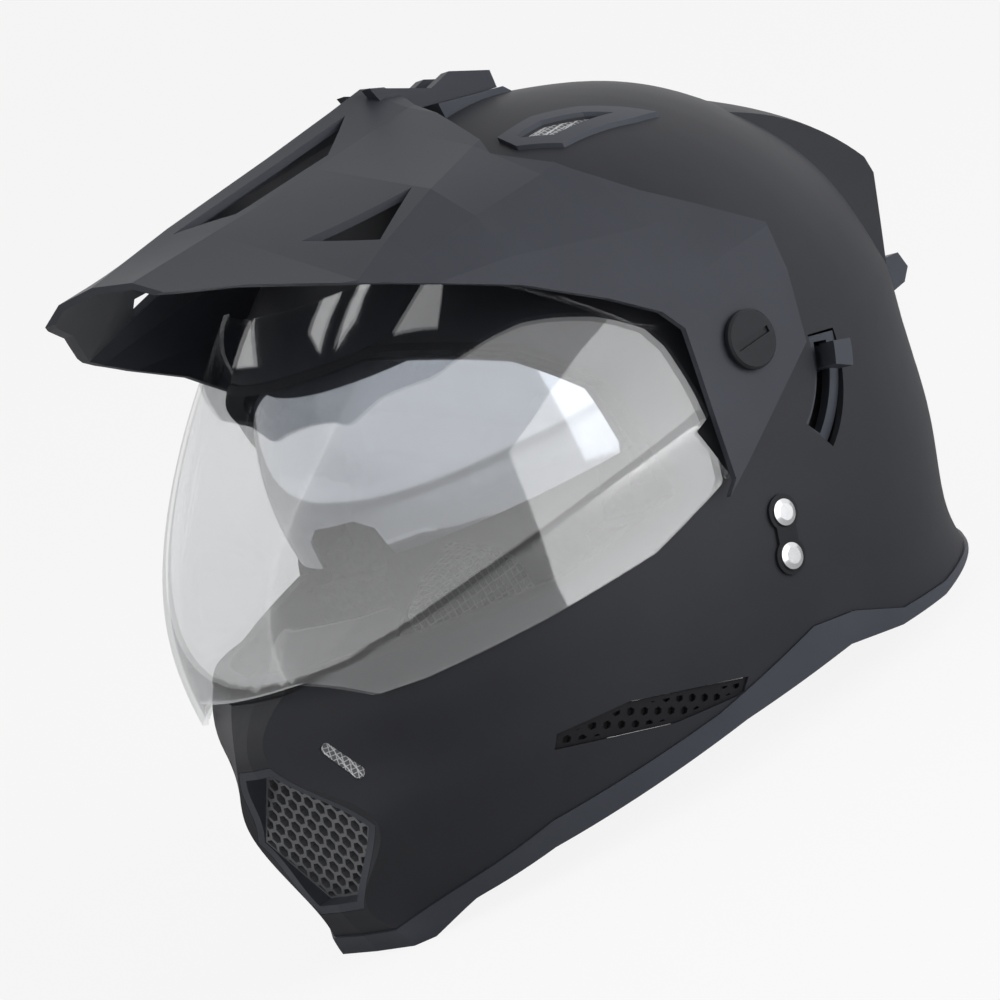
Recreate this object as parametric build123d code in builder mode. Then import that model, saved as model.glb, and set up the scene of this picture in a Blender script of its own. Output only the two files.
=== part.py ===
from build123d import *
import os
from math import acos, cos, degrees, radians, sin, sqrt

# Dual sport helmet. Millimetres, +Z up, the front faces -Y and +X is the wearer's left.
# The lower rim rests on Z = 0.

os.makedirs("parts", exist_ok=True)

# Outer shell
half_width = 119.0
half_length = 136.0
dome_rise = 121.0
dome_base = 120.0
dome_centre_y = 8.0
chin_centre_y = -20.0
chin_reach = 157.0
shell_wall = 3.2
liner_gap = 0.3
overrun = 300.0

# Each level of the body below the dome: height as a share of dome_base, then the half width, the chin
# reach, the front facet's half width, the tangent point and the rear length as shares of their sizes.
level_shares = [
    (-0.05, 0.885, 0.965, 0.118, 0.420, 0.800),
    (0.14, 0.920, 0.987, 0.126, 0.420, 0.800),
    (0.28, 0.955, 0.997, 0.230, 0.500, 0.800),
    (0.41, 0.982, 1.000, 0.325, 0.588, 0.845),
    (0.67, 1.004, 1.000, 0.092, 0.420, 0.925),
    (0.83, 1.006, 0.935, 0.134, 0.420, 0.965),
]
dome_angles = [0.0, 15.0, 30.0, 45.0, 60.0, 73.0, 85.5]
facet_crown = 0.8
front_flat_share = 0.10
front_turn_share = 0.45

# Lower edges, seen from the side: (y, z) as shares of the chin reach and of dome_base
shell_edge_shares = [
    (-1.45, 0.040), (-1.150, 0.060), (-1.000, 0.130), (-0.860, 0.185), (-0.460, 0.215),
    (-0.150, 0.275), (-0.020, 0.235), (0.130, 0.140), (0.320, 0.105), (1.20, 0.095),
]
trim_edge_shares = [
    (-1.45, 0.0), (-1.085, 0.0), (-1.010, 0.060), (-0.870, 0.105), (-0.400, 0.150),
    (-0.060, 0.150), (0.110, 0.095), (0.300, 0.070), (0.620, 0.085), (0.655, 0.090), (0.690, 0.0), (1.20, 0.0),
]
trim_proud = 0.9
trim_wall = 7.5
trim_seam = 0.2

# Eye opening, seen from the side, as shares of the chin reach and of dome_base
eyeport_shares = [
    (-1.50, 0.800), (-1.010, 0.845), (-0.640, 0.790), (-0.330, 0.830), (-0.290, 1.000),
    (-0.300, 1.230), (-0.400, 1.430), (-0.560, 1.600), (-1.50, 1.640),
]
seal_width = 3.0
seal_proud = 0.8
seal_depth = 6.0

# Rear crests and spoiler: y as a share of half_length, centre and corner heights as shares of
# dome_rise above the base, corner and foot places as shares of half_width.
spoiler_shares = [
    (0.36, 0.930, 0.790, 0.500, 0.560),
    (0.75, 0.700, 0.568, 0.487, 0.640),
    (0.93, 0.560, 0.410, 0.500, 0.610),
    (1.08, 0.400, 0.150, 0.510, 0.560),
]
spoiler_cut_shares = [(1.045, 0.58), (1.03, 0.20), (0.85, -0.06), (0.30, -0.06), (0.30, 2.0), (1.045, 2.0)]
spoiler_root = 20.0

# Pivots of the shield and of the peak's wings
pivot_y = -2.0
pivot_z = 135.0
base_radius = 12.0
base_clearance = 0.3
base_inner_x = 113.6
base_outer_x = 115.6
base_room_inner_x = 100.0
boss_radius = 8.0
boss_outer_x = 123.8
boss_bore_radius = 3.0
ear_clearance = 0.05
screw_head_radius = 10.8
screw_head_height = 2.4
screw_seat_clearance = 0.1
screw_bevel = 0.8
screw_slot_width = 2.4
screw_slot_length = 16.0
screw_slot_depth = 1.0
screw_shank_radius = 2.9
screw_shank_length = 10.0

# Face shield: levels as shares of dome_base, then half widths and reaches as shares of their sizes
shield_thickness = 2.2
shield_half_width = 123.2
shield_reach = 159.0
shield_ear_radius = 13.0
shield_rear_y = 30.0
shield_level_shares = [
    (0.700, 1.000, 1.000), (0.850, 1.000, 1.000), (1.050, 0.998, 0.965), (1.230, 0.960, 0.890),
    (1.380, 0.912, 0.792), (1.590, 0.806, 0.615), (1.775, 0.700, 0.404),
]
shield_outline_shares = [
    (-1.500, 0.865), (-1.100, 0.865), (-1.070, 0.820), (-1.030, 0.755), (-0.960, 0.742), (-0.730, 0.737),
    (-0.460, 0.742), (-0.210, 0.815), (-0.240, 0.980), (-0.090, 1.040), (0.0, 1.100), (-0.070, 1.220),
    (-0.210, 1.330), (-0.380, 1.640), (-0.420, 1.765), (-1.500, 1.765),
]

# Sun visor: a zone of a round shell that turns about the line of its own pins
visor_radius = 101.0
visor_thickness = 1.8
visor_room = 2.0
visor_y = -8.0
visor_z = 132.0
visor_hub_radius = 8.0
visor_hub_outer_x = 104.0
visor_pin_radius = 3.0
pin_clearance = 0.05
visor_outline_shares = [
    (-1.30, -0.110), (-0.33, -0.120), (-0.10, -0.060), (0.0, 0.0), (-0.06, 0.080), (-0.36, 0.240),
    (-0.82, 0.600), (-1.30, 0.600),
]
visor_low_angle = -20.0
visor_sweep = 70.0
visor_sector_shares = [
    (0.12, -0.14), (-0.60, -0.30), (-3.00, -0.60), (-3.00, 3.00), (0.25, 3.00), (0.02, 0.40), (0.12, 0.14),
]
nose_shares = [(-0.27, -0.30), (-0.20, 0.0), (-0.12, 0.045), (0.12, 0.045), (0.20, 0.0), (0.27, -0.30)]

# Visor lever and its track on the wearer's left, turning about the visor's line
lever_radius = 47.5
lever_start = -26.0
lever_travel = 26.0
lever_plate = 1.6
lever_inner_x = 106.4
lever_arm_half_angle = 5.0
lever_tab_radial = 4.0
lever_tab_half_angle = 5.5
lever_tab_outer_x = 126.5
lever_neck_half = 2.0
lever_neck_outer_x = 118.5
lever_hub_radius = 10.0
lever_boss_radius = 6.0
mount_inner_x = 101.6
mount_step_x = 105.0
track_inner_x = 110.0
track_outer_x = 114.4
track_half_width = 7.2
track_clearance = 0.2
track_slot_half_width = 3.0
track_margin_angle = 11.0
track_slot_margin_angle = 7.0
track_end_angle = 1.0
liner_room_radius = 57.0

# Head cavity, liners and pads
cavity_half_width = 78.0
cavity_half_length = 98.0
cavity_y = 10.0
cavity_z = 138.0
liner_edge_rise = 9.0
liner_front_shares = [(-0.36, -0.50), (-0.36, 0.95), (-2.0, 0.95), (-2.0, -0.50)]
chin_liner_depth = 18.0
chin_liner_shares = [(-1.40, 0.26), (-0.62, 0.33), (-0.62, 0.72), (-1.40, 0.74)]
guard_thickness = 2.0
guard_outline_shares = [(-1.40, 0.56), (-0.80, 0.56), (-0.80, 0.90), (-1.40, 0.96)]
guard_half_width = 40.0
pad_gap = 0.4
crown_pad_thickness = 10.0
crown_pad_base_z = 172.0
crown_channel_width = 5.0
crown_channel_depth = 4.0
cheek_face_x = 54.0
cheek_corner_radius = 9.0
cheek_shares = [(-0.94, 0.37), (-0.94, 0.62), (-0.62, 0.71), (-0.12, 0.76), (0.10, 0.62), (0.10, 0.38)]
cheek_face_share = 0.78
neck_roll_thickness = 15.0
neck_roll_height = 22.0
neck_roll_z = 26.0
neck_roll_front_y = 28.0
neck_roll_fillet = 5.0

# Peak. Each section across the peak: y as a share of the peak's reach, then pairs of half width and
# height shares for the ridge, shoulder, flank, crease, wing, low wing and foot.
peak_reach = 152.0
peak_half_width = 127.5
peak_height = 256.0
peak_wall = 2.6
peak_section_shares = [
    (
        -1.010, 0.999, (0.190, 0.990), (0.440, 0.937), (0.475, 0.918), (0.500, 0.880),
        (0.520, 0.800), (0.540, 0.590), (0.560, 0.250),
    ),
    (
        -0.740, 1.013, (0.189, 0.988), (0.700, 0.868), (0.745, 0.845), (0.790, 0.800),
        (0.825, 0.705), (0.860, 0.550), (0.880, 0.250),
    ),
    (
        -0.590, 1.017, (0.189, 0.986), (0.660, 0.889), (0.735, 0.853), (0.790, 0.812),
        (0.865, 0.700), (0.930, 0.560), (0.950, 0.250),
    ),
    (
        -0.395, 1.022, (0.185, 0.987), (0.625, 0.912), (0.750, 0.858), (0.820, 0.790),
        (0.890, 0.695), (0.960, 0.580), (0.985, 0.250),
    ),
    (
        -0.170, 1.030, (0.175, 0.988), (0.530, 0.922), (0.745, 0.856), (0.865, 0.748),
        (0.945, 0.645), (0.990, 0.590), (1.000, 0.250),
    ),
    (
        -0.060, 1.035, (0.165, 0.988), (0.500, 0.928), (0.745, 0.862), (0.880, 0.728),
        (0.950, 0.640), (0.992, 0.590), (1.000, 0.250),
    ),
    (
        0.130, 0.990, (0.150, 0.972), (0.460, 0.925), (0.740, 0.860), (0.888, 0.705),
        (0.952, 0.640), (0.993, 0.580), (1.000, 0.250),
    ),
    (
        0.300, 0.930, (0.150, 0.925), (0.440, 0.905), (0.735, 0.850), (0.890, 0.698),
        (0.954, 0.640), (0.994, 0.570), (1.000, 0.250),
    ),
]
# Side outline of the peak: (y, z) as shares of the reach and of the height
peak_outline_shares = [
    (-1.00, 1.06), (-1.00, 0.965), (-0.975, 0.955), (-0.880, 0.925), (-0.740, 0.863), (-0.580, 0.806),
    (-0.425, 0.752), (-0.265, 0.676), (-0.178, 0.625), (-0.158, 0.590), (-0.225, 0.377), (-0.262, 0.361),
    (0.140, 0.477), (0.190, 0.582), (0.224, 0.645), (0.122, 0.707), (0.008, 0.770), (-0.095, 0.840),
    (-0.172, 0.905), (-0.060, 0.968), (0.060, 1.06),
]
side_hole_shares = [(0.435, -0.672), (0.640, -0.597), (0.560, -0.400)]
centre_hole_shares = [(0.050, -0.760), (0.050, -0.165), (0.160, -0.330), (0.160, -0.640)]
fork_spread = 8.0
fork_width = 5.0
fork_shares = [
    (-0.085, 1.035), (0.080, 0.988), (0.150, 0.995), (0.262, 0.965), (0.258, 0.938), (0.120, 0.958), (-0.060, 0.985),
]
mount_half_width = 14.0
mount_shares = [
    (0.060, 0.88), (0.060, 0.966), (0.120, 0.957), (0.258, 0.937), (0.275, 0.925), (0.275, 0.88),
]

# Chin vent and its honeycomb, in the front plane: (x, z) in shares of the half width and of dome_base
vent_shares = [(0.082, 0.668), (0.312, 0.400), (0.112, 0.160)]
vent_rim = 3.4
vent_back_y = -150.0
frame_back_y = -172.0
grille_back_y = -173.0
grille_thickness = 3.0
cell_centre_share = 0.42
cells_across = 15
cells_up = 13
cell_radius = 2.5
cell_wall = 0.75
fit_gap = 0.15

# Chin slits, side vents, top vents
slit_centre_x = 33.5
slit_centre_z = 73.0
slit_length = 18.5
slit_width = 4.5
slit_tilt = -57.0
slit_back_y = -140.0
mesh_depth = 1.0
mesh_thickness = 1.2
side_vent_shares = [
    (-0.810, 0.375), (-0.795, 0.415), (-0.640, 0.395), (-0.360, 0.262), (-0.385, 0.225), (-0.560, 0.262),
]
side_vent_inner_x = 60.0
side_vent_depth = 1.0
side_vent_thickness = 1.6
perforation_pitch = 5.0
perforation_radius = 1.5
perforation_margin = 1.6
perforations_across = 31
perforations_up = 9
top_vent_shares = [
    (0.420, -0.010), (0.425, 0.120), (0.480, 0.235), (0.600, 0.385), (0.610, 0.300), (0.590, 0.060), (0.500, -0.020),
]
top_vent_rim = 5.0
top_vent_low_z = 150.0
top_vent_proud = 1.6
rear_vent_x = 58.0
rear_vent_width = 15.0
rear_vent_shares = [(0.80, 0.855), (0.93, 0.865), (0.965, 0.90), (0.955, 0.955), (0.90, 0.965), (0.80, 0.965)]
louvre_y = 131.0
louvre_z = 106.0
louvre_pitch = 4.0
louvre_height = 1.6
louvre_length = 11.0
louvre_depth = 6.0
louvre_count = 2

# Strap anchors, straps and rings
anchor_y = -20.0
anchor_z = 67.5
anchor_tilt = 72.0
rivet_pitch = 15.6
rivet_radius = 4.8
rivet_height = 1.8
rivet_bevel = 0.9
rivet_face_x = 119.7
rivet_lean = 0.08
rivet_shank_radius = 2.0
plate_radius = 6.6
plate_waist = 9.0
plate_proud = 1.2
strap_width = 24.0
strap_thickness = 1.8
strap_outer_x = 110.6
strap_run_z = 37.0
strap_top_z = 80.0
strap_bend = 6.9
strap_room = 0.6
right_strap_end_x = 30.0
tuck_end_x = 92.0
tuck_drop = 7.0
ring_x = 20.0
ring_pitch = 6.0
ring_half_width = 17.0
ring_side_length = 7.0
ring_corner_radius = 4.0
ring_wire_radius = 1.8
ring_clearance = 0.1


def scaled(points, along, up):
    """Shares (a, b) as real points (a * along, b * up)."""
    return [(a * along, b * up) for a, b in points]


def level_edges(reach_y, centre_front, half, reach, facet_x, tangent_x, rear):
    """Half of a level outline, front centre to rear centre, of two lines, two arcs and a side line."""
    turn = degrees(acos(tangent_x / half))
    tangent_y = centre_front - reach * sin(radians(turn))
    slope = reach / half * cos(radians(turn)) / sin(radians(turn))
    facet_y = tangent_y - slope * (tangent_x - facet_x)
    Line((0, facet_y - facet_crown), (facet_x, facet_y))
    Line((facet_x, facet_y), (tangent_x, tangent_y))
    EllipticalCenterArc((0, centre_front), half, reach, -turn, arc_size=turn)
    Line((half, centre_front), (half, dome_centre_y))
    EllipticalCenterArc((0, dome_centre_y), half, rear, 0, arc_size=90)


def dome_edges(half, length):
    """Half of a dome level, the same five edges as a body level, all on one ellipse."""
    side_turn = degrees(acos(sqrt(1 - ((dome_centre_y - chin_centre_y) / half_length) ** 2)))
    stops = [-90, -90 + degrees(front_flat_share), -90 + degrees(front_turn_share), -side_turn, 0, 90]
    for start, end in zip(stops, stops[1:]):
        EllipticalCenterArc((0, dome_centre_y), half, length, start, arc_size=end - start)


def shell_form(inset):
    """The helmet's outer form drawn in by inset, as one solid without openings."""
    with BuildPart() as form:
        for height, width, reach, facet, tangent, rear in level_shares:
            with BuildSketch(Plane.XY.offset(height * dome_base)):
                with BuildLine():
                    half = width * half_width - inset
                    level_edges(
                        0, chin_centre_y, half, reach * chin_reach - inset,
                        facet * half_width - inset * facet, tangent * half, rear * half_length - inset,
                    )
                    mirror(about=Plane.YZ)
                make_face()
        for angle in dome_angles:
            rise = (dome_rise - inset) * sin(radians(angle))
            with BuildSketch(Plane.XY.offset(dome_base + rise)):
                with BuildLine():
                    across = cos(radians(angle))
                    dome_edges((half_width - inset) * across, (half_length - inset) * across)
                    mirror(about=Plane.YZ)
                make_face()
        loft()
    return form.part


def side_prism(points, low_x=-overrun, high_x=overrun):
    """A block whose outline (y, z) is seen from the side, from low_x to high_x."""
    with BuildPart() as prism:
        with BuildSketch(Plane.YZ.offset(low_x)):
            with BuildLine():
                Polyline(*points, close=True)
            make_face()
        extrude(amount=high_x - low_x)
    return prism.part


def front_prism(points, near_y, far_y):
    """A block whose outline (x, z) is seen from the front, from near_y back to far_y."""
    with BuildPart() as prism:
        with BuildSketch(Plane.XZ.offset(-far_y)):
            with BuildLine():
                Polyline(*points, close=True)
            make_face()
        extrude(amount=far_y - near_y)
    return prism.part


def top_prism(points, low_z, high_z):
    """A block whose outline (x, y) is seen from above."""
    with BuildPart() as prism:
        with BuildSketch(Plane.XY.offset(low_z)):
            with BuildLine():
                Polyline(*points, close=True)
            make_face()
        extrude(amount=high_z - low_z)
    return prism.part


pieces = {}


def finish(part, name):
    """Label a finished piece and keep it for writing."""
    part.label = name
    pieces[name] = part


def finish_pair(part, name):
    """Keep a piece of the wearer's left side and its twin on the right."""
    finish(part, f"left_{name}")
    finish(mirrored(part), f"right_{name}")


def mirrored(part):
    """The same piece on the wearer's right side."""
    with BuildPart() as other:
        mirror(part, about=Plane.YZ)
    return other.part


def spoiler_form(inset):
    """The raised rear crests: arched sections across the helmet, cut to the spoiler's side outline."""
    with BuildPart() as form:
        for along, centre_rise, corner_rise, corner, foot in spoiler_shares:
            with BuildSketch(Plane.XZ.offset(-along * half_length)):
                with BuildLine():
                    centre_z = dome_base + centre_rise * dome_rise - inset
                    corner_z = dome_base + corner_rise * dome_rise - inset
                    corner_x = corner * half_width - inset
                    foot_x = foot * half_width - inset
                    foot_z = dome_base - spoiler_root
                    ThreePointArc((-corner_x, corner_z), (0, centre_z), (corner_x, corner_z))
                    Polyline((corner_x, corner_z), (foot_x, foot_z), (-foot_x, foot_z), (-corner_x, corner_z))
                make_face()
        loft()
        add(side_prism(rear_points(inset)), mode=Mode.INTERSECT)
    return form.part


def rear_points(inset):
    """The spoiler's side outline, drawn in at the rear."""
    return [(along * half_length - inset, dome_base + up * dome_rise) for along, up in spoiler_cut_shares]


skin = shell_form(0)
inner_skin = shell_form(shell_wall)
liner_skin = shell_form(shell_wall + liner_gap)
spoiler = spoiler_form(0)
eyeport_points = scaled(eyeport_shares, chin_reach, dome_base)
shell_edge_points = scaled(shell_edge_shares, chin_reach, dome_base)
trim_edge_points = scaled(trim_edge_shares, chin_reach, dome_base)
vent_corners = scaled(vent_shares, half_width, dome_base)


def below(points, drop=0.0):
    """The side outline of everything under an edge line, lowered by drop."""
    low = -overrun
    line = [(y, z - drop) for y, z in points]
    return [*line, (line[-1][0], low), (line[0][0], low)]


def both_sides(half_points):
    """A closed outline from its right half, listed from the top down."""
    return [*half_points, *[(-x, z) for x, z in reversed(half_points)]]


def drawn_in(points, gap):
    """A closed outline moved inwards by gap."""
    with BuildSketch() as sketch:
        with BuildLine():
            Polyline(*points, close=True)
        make_face()
        offset(amount=-gap, kind=Kind.INTERSECTION)
    corners = sketch.sketch.faces()[0].outer_wire().order_edges()
    return [(edge.position_at(0).X, edge.position_at(0).Y) for edge in corners]


vent_points = both_sides(vent_corners)
vent_hole = front_prism(vent_points, -overrun, vent_back_y)
side_vent_points = scaled(side_vent_shares, chin_reach, dome_base)
left_side_vent_hole = side_prism(side_vent_points, side_vent_inner_x, overrun)
top_vent_points = [(x * half_width, y * half_length) for x, y in top_vent_shares]
left_top_vent_hole = top_prism(drawn_in(top_vent_points, top_vent_rim - fit_gap), top_vent_low_z, overrun)


def slit_block(length, width, near_y, far_y):
    """A rounded block through the chin slit on the wearer's left."""
    with BuildPart() as block:
        with BuildSketch(Plane.XZ.offset(-far_y)):
            with Locations((slit_centre_x, slit_centre_z)):
                SlotOverall(length, width, rotation=slit_tilt)
        extrude(amount=far_y - near_y)
    return block.part


def side_disc(radius, low_x, high_x, y=pivot_y, z=pivot_z):
    """A round block on an axis along X at (y, z)."""
    with BuildPart() as disc:
        with BuildSketch(Plane.YZ.offset(low_x)):
            with Locations((y, z)):
                Circle(radius)
        extrude(amount=high_x - low_x)
    return disc.part


def arc_block(inner_radius, outer_radius, start, end, low_x, high_x):
    """A block shaped like part of a ring about the visor's line, seen from the side."""
    with BuildPart() as block:
        with BuildSketch(Plane.YZ.offset(low_x)):
            with BuildLine():
                CenterArc((visor_y, visor_z), outer_radius, start, end - start)
                CenterArc((visor_y, visor_z), inner_radius, start, end - start)
                for angle in (start, end):
                    turn = radians(angle)
                    Line(
                        (visor_y + inner_radius * cos(turn), visor_z + inner_radius * sin(turn)),
                        (visor_y + outer_radius * cos(turn), visor_z + outer_radius * sin(turn)),
                    )
            make_face()
        extrude(amount=high_x - low_x)
    return block.part


track_start = lever_start + track_margin_angle
track_end = lever_start - lever_travel - track_margin_angle
track_room = arc_block(
    lever_radius - track_half_width, lever_radius + track_half_width,
    track_end, track_start, track_inner_x, overrun,
)
left_base_room = side_disc(base_radius + base_clearance, base_room_inner_x, overrun)
left_slit_hole = slit_block(slit_length, slit_width, -overrun, slit_back_y)

rivet_lift = radians(anchor_tilt)
rivet_centres = [
    (anchor_y + along * cos(rivet_lift), anchor_z + along * sin(rivet_lift))
    for along in (-rivet_pitch / 2, rivet_pitch / 2)
]
strap_inner_x = strap_outer_x - strap_thickness
strap_near_y = anchor_y - strap_width / 2
left_strap_channel = side_prism(
    [
        (strap_near_y - strap_room, 0), (strap_near_y - strap_room, strap_top_z + strap_room),
        (strap_near_y + strap_width + strap_room, strap_top_z + strap_room),
        (strap_near_y + strap_width + strap_room, 0),
    ],
    strap_inner_x - strap_room,
)

# Outer shell
with BuildPart() as outer_shell:
    add(skin)
    add(spoiler)
    add(inner_skin, mode=Mode.SUBTRACT)
    add(side_prism(eyeport_points), mode=Mode.SUBTRACT)
    add(side_prism(below(shell_edge_points)), mode=Mode.SUBTRACT)
    add(vent_hole, mode=Mode.SUBTRACT)
    for hole in (left_side_vent_hole, left_top_vent_hole, left_base_room, left_slit_hole):
        add(hole, mode=Mode.SUBTRACT)
        add(mirrored(hole), mode=Mode.SUBTRACT)
    add(track_room, mode=Mode.SUBTRACT)
    for y, z in rivet_centres:
        hole = side_disc(rivet_shank_radius + pin_clearance, base_room_inner_x, overrun, y, z)
        add(hole, mode=Mode.SUBTRACT)
        add(mirrored(hole), mode=Mode.SUBTRACT)
finish(outer_shell.part, "outer_shell")

# Lower trim: a band that follows the shell's lower edge
with BuildPart() as bottom_trim:
    add(shell_form(-trim_proud))
    add(side_prism(below(shell_edge_points, trim_seam)), mode=Mode.INTERSECT)
    add(side_prism(below(trim_edge_points)), mode=Mode.SUBTRACT)
    add(shell_form(trim_wall), mode=Mode.SUBTRACT)
finish(bottom_trim.part, "bottom_trim")

# Seal round the eye opening
with BuildPart() as eyeport_seal:
    add(shell_form(-seal_proud))
    add(side_prism(drawn_in(eyeport_points, fit_gap)), mode=Mode.INTERSECT)
    add(side_prism(drawn_in(eyeport_points, seal_width)), mode=Mode.SUBTRACT)
    add(shell_form(seal_depth), mode=Mode.SUBTRACT)
finish(eyeport_seal.part, "eyeport_seal")


def visor_ball(inset):
    """The round solid that the sun visor's surface belongs to, drawn in by inset."""
    return Pos(0, visor_y, visor_z) * Sphere(visor_radius - inset)


def head_cavity(inset):
    """The room for the head: a round long top over a straight neck with round ends."""
    radius = cavity_half_width - inset
    half_run = cavity_half_length - cavity_half_width
    with BuildPart() as cavity:
        with BuildSketch(Plane(origin=(0, cavity_y, cavity_z), x_dir=(0, 1, 0), z_dir=(1, 0, 0))):
            with BuildLine():
                CenterArc((half_run, 0), radius, 0, 90)
                Line((half_run, radius), (-half_run, radius))
                CenterArc((-half_run, 0), radius, 90, 90)
                Line((-half_run - radius, 0), (half_run + radius, 0))
            make_face()
        revolve(axis=Axis((0, cavity_y, cavity_z), (0, 1, 0)))
        with BuildSketch(Plane.XY.offset(cavity_z)):
            with Locations((0, cavity_y)):
                SlotCenterToCenter(2 * half_run, 2 * radius, rotation=90)
        extrude(amount=-overrun)
    return cavity.part


def about(points, size, centre_y, centre_z):
    """Shares of one size as an outline about a centre, seen from the side."""
    return [(centre_y + y * size, centre_z + z * size) for y, z in points]


visor_sector = side_prism(about(visor_sector_shares, visor_radius, visor_y, visor_z))
visor_outline = about(visor_outline_shares, visor_radius, visor_y, visor_z)
left_liner_room = side_disc(liner_room_radius, mount_step_x - fit_gap, overrun, visor_y, visor_z)

# Foam liner of the head
with BuildPart() as visor_space:
    add(visor_sector)
    add(visor_ball(visor_thickness + visor_room), mode=Mode.SUBTRACT)
with BuildPart() as impact_liner:
    add(liner_skin)
    add(side_prism(below([(y, z + liner_edge_rise) for y, z in shell_edge_points])), mode=Mode.SUBTRACT)
    add(side_prism(drawn_in(eyeport_points, -seal_width)), mode=Mode.SUBTRACT)
    add(side_prism(scaled(liner_front_shares, chin_reach, dome_base)), mode=Mode.SUBTRACT)
    add(visor_space.part, mode=Mode.SUBTRACT)
    add(head_cavity(0), mode=Mode.SUBTRACT)
    for room in (left_liner_room, left_strap_channel):
        add(room, mode=Mode.SUBTRACT)
        add(mirrored(room), mode=Mode.SUBTRACT)
finish(impact_liner.part, "impact_liner")

# Foam and breath guard of the chin bar
with BuildPart() as chin_liner:
    add(liner_skin)
    add(side_prism(scaled(chin_liner_shares, chin_reach, dome_base)), mode=Mode.INTERSECT)
    add(shell_form(shell_wall + liner_gap + chin_liner_depth), mode=Mode.SUBTRACT)
    add(vent_hole, mode=Mode.SUBTRACT)
finish(chin_liner.part, "chin_liner")
guard_inset = shell_wall + 2 * liner_gap + chin_liner_depth
with BuildPart() as breath_guard:
    add(shell_form(guard_inset))
    add(side_prism(scaled(guard_outline_shares, chin_reach, dome_base), -guard_half_width, guard_half_width),
        mode=Mode.INTERSECT)
    add(shell_form(guard_inset + guard_thickness), mode=Mode.SUBTRACT)
finish(breath_guard.part, "breath_guard")


def crown_channel(long_x, long_y):
    """A bar across the cavity's top whose outside is the floor of a channel in the crown pad."""
    with BuildPart() as channel:
        with Locations((0, cavity_y, cavity_z)):
            Box(long_x, long_y, overrun)
        add(head_cavity(pad_gap + crown_pad_thickness - crown_channel_depth), mode=Mode.INTERSECT)
    return channel.part


# Comfort pads
with BuildPart() as crown_pad:
    add(head_cavity(pad_gap))
    add(head_cavity(pad_gap + crown_pad_thickness), mode=Mode.SUBTRACT)
    with BuildSketch(Plane.XY.offset(crown_pad_base_z)):
        Rectangle(overrun, 2 * overrun)
    extrude(amount=-2 * overrun, mode=Mode.SUBTRACT)
    add(crown_channel(crown_channel_width, overrun), mode=Mode.SUBTRACT)
    add(crown_channel(overrun, crown_channel_width), mode=Mode.SUBTRACT)
finish(crown_pad.part, "crown_pad")
with BuildPart() as cheek_pad:
    outer_points = scaled(cheek_shares, cavity_half_length, dome_base)
    centre_y = sum(y for y, z in outer_points) / len(outer_points)
    centre_z = sum(z for y, z in outer_points) / len(outer_points)
    inner_points = [
        (centre_y + (y - centre_y) * cheek_face_share, centre_z + (z - centre_z) * cheek_face_share)
        for y, z in outer_points
    ]
    for across, points in ((cavity_half_width, outer_points), (cheek_face_x, inner_points)):
        with BuildSketch(Plane.YZ.offset(across)) as cheek_outline:
            with BuildLine():
                Polyline(*points, close=True)
            make_face()
            fillet(cheek_outline.vertices(), radius=cheek_corner_radius)
    loft()
    add(head_cavity(pad_gap), mode=Mode.INTERSECT)
finish_pair(cheek_pad.part, "cheek_pad")
straight = 2 * (cavity_half_length - cavity_half_width)
with BuildPart() as neck_roll:
    with BuildSketch(Plane.XY.offset(neck_roll_z)):
        with Locations((0, cavity_y)):
            SlotCenterToCenter(straight, 2 * (cavity_half_width - pad_gap), rotation=90)
            inner = 2 * (cavity_half_width - pad_gap - neck_roll_thickness)
            SlotCenterToCenter(straight, inner, rotation=90, mode=Mode.SUBTRACT)
    extrude(amount=neck_roll_height)
    fillet(neck_roll.faces().filter_by(Axis.Z).edges(), radius=neck_roll_fillet)
    with BuildSketch(Plane.XY):
        with Locations((0, neck_roll_front_y - overrun)):
            Rectangle(2 * overrun, 2 * overrun)
    extrude(amount=overrun, mode=Mode.SUBTRACT)
finish(neck_roll.part, "neck_roll")

# Side bases that carry the shield's ears and the peak's wings
with BuildPart() as shield_base:
    add(side_disc(base_radius, base_inner_x, base_outer_x))
    add(side_disc(boss_radius, base_outer_x, boss_outer_x))
    add(side_disc(boss_bore_radius, base_inner_x, boss_outer_x), mode=Mode.SUBTRACT)
finish_pair(shield_base.part, "shield_base")
screw_seat_x = peak_half_width + screw_seat_clearance
with BuildPart() as peak_screw:
    add(side_disc(screw_head_radius, screw_seat_x, screw_seat_x + screw_head_height))
    chamfer(peak_screw.faces().sort_by(Axis.X)[-1].edges(), length=screw_bevel)
    add(side_disc(screw_shank_radius, screw_seat_x - screw_shank_length, screw_seat_x))
    with BuildSketch(Plane.YZ.offset(screw_seat_x + screw_head_height)):
        with Locations((pivot_y, pivot_z)):
            Rectangle(screw_slot_length, screw_slot_width)
    extrude(amount=-screw_slot_depth, mode=Mode.SUBTRACT)
finish_pair(peak_screw.part, "peak_screw")


def shield_form(inset):
    """The shield's outer form drawn in by inset: ovals with straight sides, one over another."""
    with BuildPart() as form:
        for height, width, reach in shield_level_shares:
            half = width * shield_half_width - inset
            depth = reach * shield_reach - inset
            with BuildSketch(Plane.XY.offset(height * dome_base)):
                with BuildLine():
                    EllipticalCenterArc((0, chin_centre_y), half, depth, -90, arc_size=90)
                    Line((half, chin_centre_y), (half, shield_rear_y))
                    Line((half, shield_rear_y), (0, shield_rear_y + inset))
                    mirror(about=Plane.YZ)
                make_face()
        loft()
    return form.part


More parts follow.
